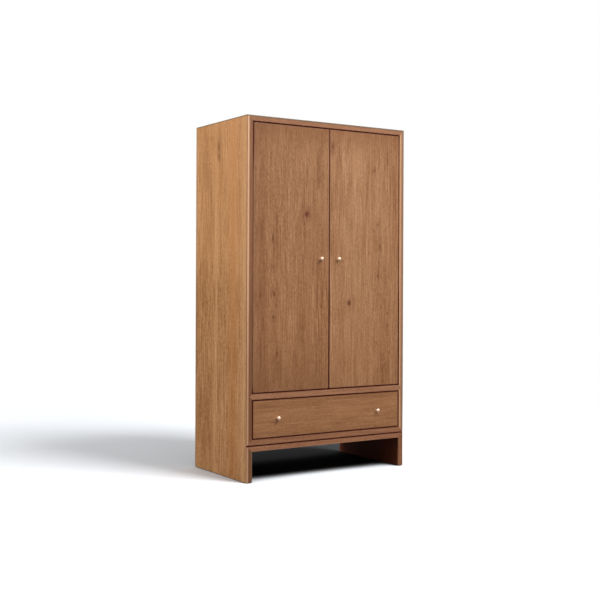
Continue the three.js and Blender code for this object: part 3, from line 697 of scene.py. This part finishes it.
def woodMaterial(node):
    slot = slotOfNode[node]
    look = woodLooks[slot]
    seed = sum(ord(letter) * (index + 3) for index, letter in enumerate(node)) % 97
    material, wire, place = startMaterial(node + "_wood")
    bent = swayed(wire, place, grainWay.get(node, 0), seed)
    moved, dark = knotMasks(wire, place, bent, knots.get(node, []))
    layers, tone = grainOf(wire, moved, node, seed)

    tones = (look["dark"], look["middle"], look["light"])
    stops = list(zip(woodFinish["toneStops"], tones))
    colour = wire.node("ShaderNodeValToRGB", {"stops": stops}, {0: tone})
    colour = addBands(wire, colour, moved, layers, node)
    pore = fade(wire, layers["pore"], *woodFinish["pore"], 0.0, look["pores"])
    colour = blendColour(wire, pore, colour, look["poreColour"])
    if node in knots:
        colour = blendColour(wire, dark, colour, look["knotColour"])

    edgeGap = edgeDistance(wire, place, *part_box(node))
    wander = (layers["leaf"] - 0.5) * woodFinish["rubbedWander"]
    rubbed = fade(wire, edgeGap + wander, *woodFinish["rubbed"], look["edge"], 0.0)
    colour = blendColour(wire, rubbed, colour, look["edgeColour"])
    colour = addEdges(wire, colour, place, edgeGap, node)
    coat = woodFinish["coat"]
    if slot != "drawer_box_wood":
        # painted shade in the gaps and the groove, with less coat there
        gapShade = revealShade(wire, place)
        colour = blendColour(wire, gapShade, colour, revealShadeLook["colour"])
        coat = (1 - gapShade) * coat
    if slot == "side_veneer":
        # painted shade on the inner faces of the side panels under the case
        baseShade = fade(wire, axisOf(wire, place, 2), *baseShadeLook["below"], baseShadeLook["strength"], 0.0)
        baseShade = baseShade * fade(wire, sizeOf(wire, axisOf(wire, place, 0)), *baseShadeLook["inside"], 1.0, 0.0)
        colour = blendColour(wire, baseShade, colour, baseShadeLook["colour"])

    roughness = look["roughness"] + (layers["streak"] - 0.5) * woodFinish["streakRoughness"]
    roughness = roughness + pore * woodFinish["poreRoughness"] - rubbed * woodFinish["rubbedRoughness"]
    height = layers["streak"] * woodFinish["streakHeight"] + layers["fine"] * woodFinish["fineHeight"]
    height = height - pore * woodFinish["poreHeight"]
    if node in knots:
        height = height - dark * knotLook["dent"]
    relief = wire.node("ShaderNodeBump", {}, {"Height": height, **woodFinish["bump"]})
    endMaterial(wire, {
        "Base Color": colour, "Roughness": roughness, "Normal": relief, "Coat Weight": coat,
        **woodFinish["gloss"]})
    return material


# every metal: its colour, the colour of its marks, and how finely it is brushed along each axis
metalLooks = {
    "knob_metal": {"colour": screen(232, 202, 178), "mark": screen(200, 168, 142), "roughness": 0.48,
                   "brush": (900.0, 120.0, 900.0), "relief": 0.15, "metallic": 0.6},
    "rod_steel": {"colour": screen(196, 195, 192), "mark": screen(158, 157, 154), "roughness": 0.26,
                  "brush": (14.0, 900.0, 900.0), "relief": 0.15, "metallic": 1.0},
    "fitting_steel": {"colour": screen(188, 189, 190), "mark": screen(140, 142, 144), "roughness": 0.36,
                      "brush": (260.0, 260.0, 260.0), "relief": 0.25, "metallic": 1.0},
    "hinge_steel": {"colour": screen(190, 184, 174), "mark": screen(146, 140, 130), "roughness": 0.38,
                    "brush": (30.0, 700.0, 700.0), "relief": 0.25, "metallic": 1.0},
    "slide_steel": {"colour": screen(184, 186, 188), "mark": screen(146, 149, 152), "roughness": 0.34,
                    "brush": (700.0, 16.0, 700.0), "relief": 0.25, "metallic": 1.0},
}

# wear that all metals share: fineness of a noise, where it starts and is full, and its share
metalWear = {
    "smudge": 34.0, "smudgeRange": (0.35, 0.7), "smudgeShare": 0.55, "smudgeRoughness": 0.12,
    "speck": 1800.0, "speckRange": (0.62, 0.72), "speckShare": 0.35, "speckDepth": 0.5,
    "brushRoughness": 0.22, "depth": 0.0001,
}


def metalMaterial(slot):
    look, wear = metalLooks[slot], metalWear
    material, wire, place = startMaterial(slot)
    brushed = noise(wire, vector(wire, "MULTIPLY", place, look["brush"]), 1.0, 3.0, 0.6)
    smudge = noise(wire, place, wear["smudge"], 3.0, 0.6)
    worn = fade(wire, smudge, *wear["smudgeRange"], 0.0, wear["smudgeShare"])
    speck = noise(wire, place, wear["speck"], 1.0)
    speck = fade(wire, speck, *wear["speckRange"], 0.0, wear["speckShare"])
    colour = blendColour(wire, worn, look["colour"], look["mark"])
    colour = blendColour(wire, speck, colour, look["mark"])
    roughness = look["roughness"] + (brushed - 0.5) * wear["brushRoughness"]
    roughness = roughness + worn * wear["smudgeRoughness"]
    height = brushed - speck * wear["speckDepth"]
    relief = wire.node("ShaderNodeBump", {}, {
        "Strength": look["relief"], "Distance": wear["depth"], "Height": height})
    endMaterial(wire, {
        "Base Color": colour, "Metallic": look["metallic"], "Roughness": roughness, "Normal": relief})
    return material


plasticLooks = {
    "catch_plastic": {"colour": screen(62, 50, 42), "mark": screen(88, 74, 64), "roughness": 0.52},
    "glide_plastic": {"colour": screen(54, 50, 46), "mark": screen(82, 76, 70), "roughness": 0.6},
}

# the moulded grit and the scuffs that both plastics share
plasticWear = {
    "grit": 2600.0, "gritRoughness": 0.2, "scuff": 90.0, "scuffRange": (0.55, 0.75), "scuffShare": 0.5,
    "scuffRoughness": 0.1, "scuffHeight": 0.3, "relief": 0.3, "depth": 0.0001,
}


def plasticMaterial(slot):
    look, wear = plasticLooks[slot], plasticWear
    material, wire, place = startMaterial(slot)
    grit = noise(wire, place, wear["grit"], 2.0, 0.6)
    scuff = noise(wire, place, wear["scuff"], 4.0, 0.65)
    scuff = fade(wire, scuff, *wear["scuffRange"], 0.0, wear["scuffShare"])
    colour = blendColour(wire, scuff, look["colour"], look["mark"])
    roughness = look["roughness"] + (grit - 0.5) * wear["gritRoughness"]
    roughness = roughness + scuff * wear["scuffRoughness"]
    height = grit + scuff * wear["scuffHeight"]
    relief = wire.node("ShaderNodeBump", {}, {
        "Strength": wear["relief"], "Distance": wear["depth"], "Height": height})
    endMaterial(wire, {"Base Color": colour, "Roughness": roughness, "Normal": relief})
    return material


sharedMaterials = {}
for slot in metalLooks:
    sharedMaterials[slot] = metalMaterial(slot)
for slot in plasticLooks:
    sharedMaterials[slot] = plasticMaterial(slot)
print("metal and plastic ready:", len(sharedMaterials))


# a small round on the sharp edges of the CAD pieces, in mm
edgeRound = {
    "side_veneer": 0.5, "front_veneer": 0.8, "solid_edge_wood": 0.6, "inside_veneer": 0.5,
    "drawer_box_wood": 1.0, "hinge_steel": 0.25, "slide_steel": 0.25, "fitting_steel": 0.25,
    "catch_plastic": 0.28,
}
roundLook = {"segments": 2, "sharperThan": 40.0, "flatWithin": 0.5, "joinWithin": 0.00001, "evenness": 80}


# a node group that drops the flat import normals, so that the later modifiers shade from the shape alone
def softenNodeGroup():
    group = bpy.data.node_groups.new("smooth_faces", "GeometryNodeTree")
    for way in ("INPUT", "OUTPUT"):
        group.interface.new_socket("Geometry", in_out=way, socket_type="NodeSocketGeometry")
    wire = Wire(group)
    start = wire.node("NodeGroupInput")
    bare = wire.node("GeometryNodeRemoveAttribute", {}, {"Geometry": start, "Name": "custom_normal"})
    smooth = wire.node("GeometryNodeSetShadeSmooth", {"domain": "FACE"}, {
        "Geometry": bare, "Shade Smooth": True})
    wire.node("NodeGroupOutput", {}, {0: smooth})
    return group


smoothFaces = softenNodeGroup()


def finishNode(node):
    slot = slotOfNode[node]
    piece = nodes[node]
    material = woodMaterial(node) if slot in woodLooks else sharedMaterials[slot]
    for holder in piece.material_slots:
        holder.material = material
    weld = piece.modifiers.new("join_corners", "WELD")
    weld.merge_threshold = roundLook["joinWithin"]
    bare = piece.modifiers.new("smooth_faces", "NODES")
    bare.node_group = smoothFaces
    flat = piece.modifiers.new("flat_faces", "DECIMATE")
    flat.decimate_type = "DISSOLVE"
    flat.angle_limit = math.radians(roundLook["flatWithin"])
    rounded = piece.modifiers.new("rounded_edges", "BEVEL")
    rounded.width = edgeRound[slot] * mm
    rounded.segments = roundLook["segments"]
    rounded.limit_method = "ANGLE"
    rounded.angle_limit = math.radians(roundLook["sharperThan"])
    shade = piece.modifiers.new("even_shading", "WEIGHTED_NORMAL")
    shade.keep_sharp = False
    shade.weight = roundLook["evenness"]


newPieceLook = {"sharperThan": 32.0, "joinWithin": 0.000001}


# makes a mesh into a piece that rides on a body
def newPiece(name, mesh, body, slot, replaced=()):
    bmesh.ops.remove_doubles(mesh, verts=mesh.verts, dist=newPieceLook["joinWithin"])
    bmesh.ops.recalc_face_normals(mesh, faces=mesh.faces)
    data = bpy.data.meshes.new(name)
    mesh.to_mesh(data)
    mesh.free()
    data.polygons.foreach_set("use_smooth", [True] * len(data.polygons))
    data.set_sharp_from_angle(angle=math.radians(newPieceLook["sharperThan"]))
    data.materials.append(sharedMaterials[slot])
    piece = bpy.data.objects.new(name, data)
    bpy.context.scene.collection.objects.link(piece)
    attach(piece, body)
    if replaced:
        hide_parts(*replaced)


def middleOf(node):
    low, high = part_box(node)
    return (low + high) / 2


# turns a profile of (radius, distance) rows in mm round a line from spot
def addTurned(mesh, profile, spot, toward, around, shape=None):
    ahead = Vector(toward).normalized()
    first = ahead.orthogonal().normalized()
    second = ahead.cross(first)
    rings = []
    for row, (radius, distance) in enumerate(profile):
        centre = Vector(spot) + ahead * distance * mm
        if radius == 0:
            rings.append([mesh.verts.new(centre)])
            continue
        ring = []
        for step in range(around):
            angle = 2 * math.pi * step / around
            reach = shape(row, angle, radius) if shape else radius
            outward = first * math.cos(angle) + second * math.sin(angle)
            ring.append(mesh.verts.new(centre + outward * reach * mm))
        rings.append(ring)
    for lowRing, highRing in zip(rings, rings[1:]):
        for step in range(around):
            after = (step + 1) % around
            if len(lowRing) == 1:
                mesh.faces.new((lowRing[0], highRing[after], highRing[step]))
            elif len(highRing) == 1:
                mesh.faces.new((lowRing[step], lowRing[after], highRing[0]))
            else:
                mesh.faces.new((lowRing[step], lowRing[after], highRing[after], highRing[step]))


def arcRows(centreRadius, centreDistance, radius, fromDegrees, toDegrees, count):
    rows = []
    for step in range(count + 1):
        angle = math.radians(fromDegrees + (toDegrees - fromDegrees) * step / count)
        rows.append((
            max(0.0, centreRadius + radius * math.cos(angle)),
            centreDistance + radius * math.sin(angle),
        ))
    return rows


# shares of the head's radius; slotFloor is a share of the head's whole thickness, below is in mm
screwLook = {
    "around": 48, "slotWidth": 0.17, "slotReach": 0.58, "slotDepth": 0.38, "slotFloor": 0.8, "edge": 0.12,
    "below": 0.4,
}


# a screw head with a plain cross slot; height is how far the dome stands up, below how far the head is sunk
def addScrewHead(mesh, spot, toward, radius, height, below=screwLook["below"]):
    wide = radius * screwLook["slotWidth"]
    reach = radius * screwLook["slotReach"]
    nearly = 1e-6

    def crossEdge(angle):
        across, along = max(abs(math.cos(angle)), nearly), max(abs(math.sin(angle)), nearly)
        return max(min(reach / across, wide / along), min(wide / across, reach / along))

    edge = min(screwLook["edge"] * radius, height)
    dome = max(0.0, height - edge)
    profile = [
        (0.0, -below), (radius, -below), (radius, 0.0), (radius, height - edge - dome * 0.7),
        (radius - edge * 0.4, height - edge * 0.5 - dome * 0.45), (radius * 0.86, height - dome * 0.2),
        (radius * 0.70, height),
    ]
    slotTop = len(profile)
    depth = min(radius * screwLook["slotDepth"], (height + below) * screwLook["slotFloor"])
    # from here on the radius is a share of the cross's own edge
    profile += [(1.0, height), (0.9, height - depth), (0.0, height - depth * 1.1)]

    def shape(row, angle, size):
        return crossEdge(angle) * size if row >= slotTop else size

    addTurned(mesh, profile, spot, toward, screwLook["around"], shape)


# turned ball knob and the screw behind it, in mm
knobLook = {
    "ball": 10.47, "neck": 4.0, "flange": 6.47, "flangeThick": 1.6, "standOff": 2.03,
    "backRound": 0.3, "frontRound": 0.5, "steps": 28, "around": 72,
}
knobScrewLook = {"head": 4.17, "headHigh": 2.2, "thread": 2.0, "point": 1.7, "length": 33.95, "around": 32}


def knobProfile():
    ball, neck, flange = knobLook["ball"], knobLook["neck"], knobLook["flange"]
    thick, back, front = knobLook["flangeThick"], knobLook["backRound"], knobLook["frontRound"]
    meet = math.degrees(math.asin(neck / ball))
    profile = [(0.0, 0.0), (flange - back, 0.0)]
    profile += arcRows(flange - back, back, back, -90, 0, 4)
    profile += arcRows(flange - front, thick - front, front, 0, 90, 5)
    profile += [(neck + 0.9, thick + 0.02), (neck + 0.4, thick + 0.15), (neck + 0.12, thick + 0.5)]
    profile += arcRows(0.0, knobLook["standOff"] + ball, ball, meet - 90, 90, knobLook["steps"])
    return profile


def makeKnobs():
    look = knobScrewLook
    shank = [(0.0, 0.0), (look["point"], 0.0), (look["thread"], 0.4), (look["thread"], look["length"]),
             (0.0, look["length"])]
    for node in ("left_door_knob", "right_door_knob", "drawer_left_knob", "drawer_right_knob"):
        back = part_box(node)[1].y
        middle = middleOf(node)
        mesh = bmesh.new()
        addTurned(mesh, knobProfile(), (middle.x, back, middle.z), (0, -1, 0), knobLook["around"])
        newPiece(node + "_turned", mesh, bodyOfNode[node], "knob_metal", [node])
        screw = node + "_screw"
        low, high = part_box(screw)
        middle = middleOf(screw)
        underHead = (middle.x, high.y - look["headHigh"] * mm, middle.z)
        mesh = bmesh.new()
        addScrewHead(mesh, underHead, (0, 1, 0), look["head"], look["headHigh"], 0.0)
        addTurned(mesh, shank, (middle.x, low.y, middle.z), (0, 1, 0), look["around"])
        newPiece(screw + "_turned", mesh, bodyOfNode[screw], "fitting_steel", [screw])


# hanging rod, its wall sockets, shelf pins and glides, in mm
rodLook = {"radius": 12.48, "wall": 1.5, "rounding": 0.5, "inside": 0.4, "around": 96}
socketLook = {
    "flange": 24.97, "flangeThick": 2.5, "flangeRound": 1.0, "cup": 15.9, "cupRound": 0.8, "bore": 12.9,
    "floor": 3.6, "depth": 13.0, "around": 96, "screwAt": 20.3, "screwAngles": (90, 210, 330),
    "screwRadius": 3.4, "screwHigh": 0.5,
}
pinLook = {"radius": 2.47, "length": 18.0, "point": 2.0, "pointLong": 0.5, "endRound": 0.7, "around": 40}
glideLook = {"pad": 9.97, "padThick": 2.95, "padRound": 1.1, "nail": 1.25, "nailLength": 17.0, "around": 56}


def makeRod():
    low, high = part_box("hanging_rod")
    middle = middleOf("hanging_rod")
    length = (high.x - low.x) / mm
    outer, soft, inside = rodLook["radius"], rodLook["rounding"], rodLook["inside"]
    inner = outer - rodLook["wall"]
    rim = inner + 0.3
    profile = [
        (inner, inside), (rim, 0.0), (outer - soft, 0.0), (outer, soft),
        (outer, length - soft), (outer - soft, length), (rim, length), (inner, length - inside),
        (inner, inside),
    ]
    mesh = bmesh.new()
    addTurned(mesh, profile, (low.x, middle.y, middle.z), (1, 0, 0), rodLook["around"])
    newPiece("hanging_rod_tube", mesh, "case", "rod_steel", ["hanging_rod"])


# the two sides of the armoire: name, the way that looks into the case, and which corner is at the wall
caseSides = (("left", 1, 0), ("right", -1, 1))


def makeSockets():
    look = socketLook
    flange, thick, cup, bore = look["flange"], look["flangeThick"], look["cup"], look["bore"]
    edge, rim, depth = look["flangeRound"], look["cupRound"], look["depth"]
    profile = [(0.0, 0.0), (flange, 0.0)] + arcRows(flange - edge, thick - edge, edge, 0, 90, 5)
    profile += [(cup + 1.2, thick), (cup + 0.5, thick + 0.2), (cup, thick + 0.8)]
    profile += arcRows(cup - rim, depth - rim, rim, 0, 90, 4)
    profile += [(bore + 0.3, depth), (bore, depth - 0.3), (bore, look["floor"]), (0.0, look["floor"])]
    for side, way, corner in caseSides:
        node = side + "_rod_socket"
        middle = middleOf(node)
        spot = Vector((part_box(node)[corner].x, middle.y, middle.z))
        mesh = bmesh.new()
        addTurned(mesh, profile, spot, (way, 0, 0), look["around"])
        for angle in look["screwAngles"]:
            turn = math.radians(angle)
            out = Vector((way * thick, math.cos(turn) * look["screwAt"], math.sin(turn) * look["screwAt"]))
            addScrewHead(mesh, spot + out * mm, (way, 0, 0), look["screwRadius"], look["screwHigh"])
        newPiece(node + "_turned", mesh, "case", "rod_steel", [node])


def makeShelfPins():
    radius, length, soft = pinLook["radius"], pinLook["length"], pinLook["endRound"]
    profile = [(0.0, 0.0), (pinLook["point"], 0.0), (radius, pinLook["pointLong"]), (radius, length - soft)]
    profile += arcRows(radius - soft, length - soft, soft, 0, 90, 4) + [(0.0, length)]
    for side, way, corner in caseSides:
        for depthName in ("front", "back"):
            node = side + "_" + depthName + "_shelf_pin"
            middle = middleOf(node)
            spot = (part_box(node)[corner].x, middle.y, middle.z)
            mesh = bmesh.new()
            addTurned(mesh, profile, spot, (way, 0, 0), pinLook["around"])
            newPiece(node + "_turned", mesh, "case", "fitting_steel", [node])


def makeGlides():
    pad, thick, soft = glideLook["pad"], glideLook["padThick"], glideLook["padRound"]
    nail, length = glideLook["nail"], glideLook["nailLength"]
    profile = [(0.0, 0.0), (pad - soft - 0.3, 0.0)] + arcRows(pad - soft, soft, soft, -75, 0, 5)
    profile += [(pad, thick - 0.35), (pad - 0.3, thick), (nail, thick)]
    profile += [(nail - 0.1, length - 3.0), (0.0, length)]
    for side in ("left", "right"):
        for depthName in ("front", "back"):
            node = side + "_" + depthName + "_glide"
            middle = middleOf(node)
            spot = (middle.x, middle.y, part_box(node)[0].z)
            mesh = bmesh.new()
            addTurned(mesh, profile, spot, (0, 0, 1), glideLook["around"])
            newPiece(node + "_turned", mesh, "case", "glide_plastic", [node])


# screws that hold the fittings, in mm
screwPlan = {
    "hinge": {"radius": 2.9, "height": 0.12, "slot": "hinge_steel", "fromPin": (19.0, 44.0), "pin": 6.0},
    "strike": {"radius": 2.3, "height": 0.3, "slot": "fitting_steel", "inset": 4.2},
    "slideCase": {"radius": 3.4, "height": 0.9, "slot": "slide_steel", "web": 1.2,
                  "along": (-205.0, -10.0, 180.0)},
    "slideDrawer": {"radius": 3.2, "height": 0.6, "slot": "slide_steel", "web": 1.2,
                    "along": (-225.0, -60.0, 170.0)},
    "catch": {"radius": 2.6, "height": 0.7, "slot": "fitting_steel", "inset": 6.0, "ear": 2.5},
    "back": {"radius": 3.3, "height": 0.5, "slot": "fitting_steel", "inset": 4.9, "lift": 1.0,
             "across": (-360.0, -120.0, 120.0, 360.0), "up": (330.0, 620.0, 900.0, 1180.0, 1460.0, 1740.0)},
}


def inMm(node):
    low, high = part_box(node)
    return low / mm, high / mm


# one mesh for each group of screws; spots in mm, each with the way that its head looks
def makeScrewGroup(name, body, kind, spots):
    look = screwPlan[kind]
    mesh = bmesh.new()
    for spot, toward in spots:
        addScrewHead(mesh, [c * mm for c in spot], toward, look["radius"], look["height"])
    newPiece(name, mesh, body, look["slot"])


def makeHingeScrews(side, way):
    plan = screwPlan["hinge"]
    doorLow, doorHigh = inMm(side + "_door")
    for part, body, turn in (("case", "case", 1), ("door", side + "_door", -1)):
        spots = []
        for level, look in (("bottom", turn), ("top", -turn)):
            low, high = inMm(side + "_" + level + "_hinge_" + part + "_leaf")
            pinEnd = low.x if way < 0 else high.x
            faces = (high.z, low.z) if part == "case" else (doorLow.z, doorHigh.z)
            face = faces[0] if level == "bottom" else faces[1]
            for along in plan["fromPin"]:
                spot = (pinEnd - way * (along + plan["pin"]), (low.y + high.y) / 2, face)
                spots.append((spot, (0, 0, look)))
        makeScrewGroup(side + "_hinge_" + part + "_screws", body, "hinge", spots)


def makeFittingScrews(side, way):
    low, high = inMm(side + "_strike_plate")
    inset = screwPlan["strike"]["inset"]
    spots = [((x, high.y, (low.z + high.z) / 2), (0, 1, 0)) for x in (low.x + inset, high.x - inset)]
    makeScrewGroup(side + "_strike_screws", side + "_door", "strike", spots)

    low, high = inMm(side + "_slide_case_member")
    web = (low.x if way < 0 else high.x) - way * screwPlan["slideCase"]["web"]
    spots = [((web, y, (low.z + high.z) / 2), (-way, 0, 0)) for y in screwPlan["slideCase"]["along"]]
    makeScrewGroup(side + "_slide_case_screws", "case", "slideCase", spots)

    low, high = inMm(side + "_slide_drawer_member")
    web = (high.x if way < 0 else low.x) + way * screwPlan["slideDrawer"]["web"]
    spots = [((web, y, (low.z + high.z) / 2), (way, 0, 0)) for y in screwPlan["slideDrawer"]["along"]]
    makeScrewGroup(side + "_slide_drawer_screws", "drawer", "slideDrawer", spots)


def makeCatchScrews():
    plan = screwPlan["catch"]
    low, high = inMm("magnetic_catch")
    middle, under = (low.y + high.y) / 2, high.z - plan["ear"]
    spots = [((x, middle, under), (0, 0, -1)) for x in (low.x + plan["inset"], high.x - plan["inset"])]
    makeScrewGroup("catch_screws", "case", "catch", spots)


def makeBackScrews():
    plan = screwPlan["back"]
    inset = plan["inset"]
    low, high = inMm("back_panel")
    dividerLine = sum(corner.z for corner in inMm("divider_panel")) / 2
    levels = (low.z + inset + plan["lift"], dividerLine, high.z - inset)
    places = [(x, z) for x in plan["across"] for z in levels]
    places += [(x, z) for z in plan["up"] for x in (low.x + inset, high.x - inset)]
    makeScrewGroup("back_panel_screws", "case", "back", [((x, high.y, z), (0, 1, 0)) for x, z in places])


def makeScrews():
    for side, way in (("left", -1), ("right", 1)):
        makeHingeScrews(side, way)
        makeFittingScrews(side, way)
    makeCatchScrews()
    makeBackScrews()


setCamera()
setSky()
setFloor()
print("camera, sky and floor set")
makeKnobs()
makeRod()
makeSockets()
makeShelfPins()
makeGlides()
makeScrews()
print("turned pieces and screws made")
for name, piece in nodes.items():
    if not piece.hide_render:
        finishNode(name)
print("finishes put on the CAD pieces")
setLights()
